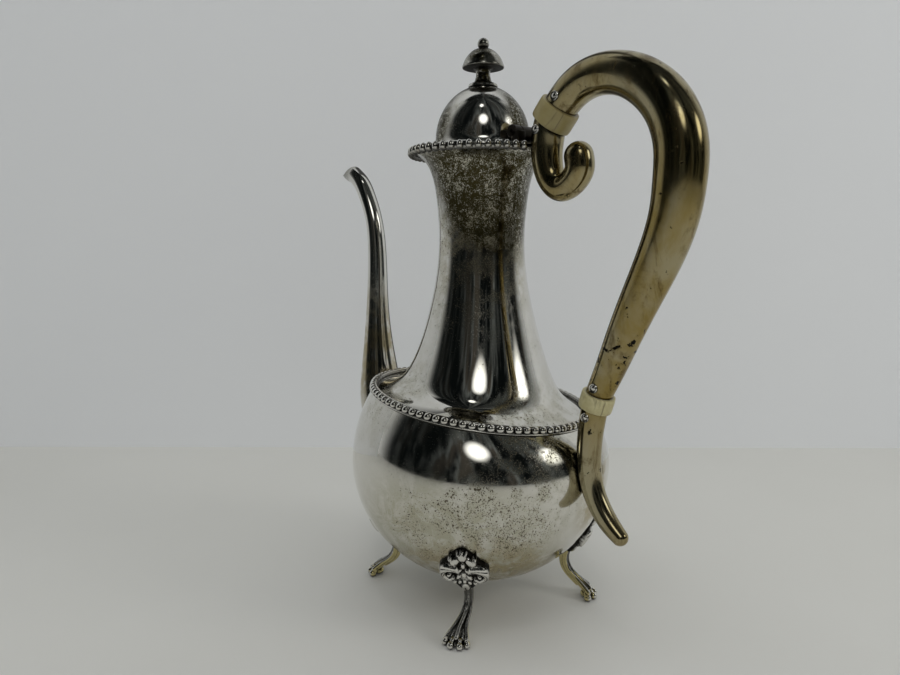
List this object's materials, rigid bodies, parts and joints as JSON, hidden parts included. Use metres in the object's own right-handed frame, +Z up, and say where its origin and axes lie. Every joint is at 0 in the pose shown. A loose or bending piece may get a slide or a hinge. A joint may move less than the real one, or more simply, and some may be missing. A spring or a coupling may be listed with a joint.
{
  "type": "coffee pot",
  "caption": "Tall-necked metal coffee pot with a ball-shaped bowl on paw feet, slender spout, hinged domed lid with finial, and an arched hollow handle between insulating collars.",
  "frame": {"origin": "on the table, under the middle of the bowl", "axes": "+Z up, the handle points along +X and the spout along -X"},
  "size_m": [0.1864, 0.1048, 0.2219],
  "materials": {
    "polished_silver": "polished silver with fine dark tarnish specks",
    "beaded_silver": "polished silver beads with blackened gaps",
    "yellowed_silver": "polished silver tarnished to a warm yellow",
    "ivory_coloured_collar": "cream, fine-grained and lightly polished",
    "pin_silver": "polished silver pins",
    "cast_silver": "cast silver with oxidised recesses",
    "dark_silver": "heavily tarnished silver"
  },
  "bodies": {
    "pot": {"bowl": "polished_silver", "neck": "polished_silver", "lid_seat_ring": "polished_silver", "spout": "polished_silver", "shoulder_bead_border": "beaded_silver", "rim_bead_border": "beaded_silver", "upper_handle_socket": "yellowed_silver", "lower_handle_socket": "yellowed_silver", "handle_grip": "yellowed_silver", "upper_insulator": "ivory_coloured_collar", "lower_insulator": "ivory_coloured_collar", "upper_insulator_rivets": "pin_silver", "lower_insulator_rivets": "pin_silver", "hinge_pin": "pin_silver", "leg_back_handle": "cast_silver", "leg_back_spout": "cast_silver", "leg_front_spout": "cast_silver", "leg_front_handle": "cast_silver", "body_hinge_saddle": "dark_silver"},
    "lid": {"lid_dome": "polished_silver", "lid_bezel": "polished_silver", "lid_finial": "polished_silver", "finial_nut": "polished_silver", "lid_hinge_knuckle": "dark_silver"}
  },
  "joints": [
    {"name": "lid_hinge", "type": "hinge", "parent": "pot", "child": "lid", "pos_m": [0.022, 0, 0.1846], "axis": [0, 1, 0], "range_deg": [0, 65]}
  ]
}
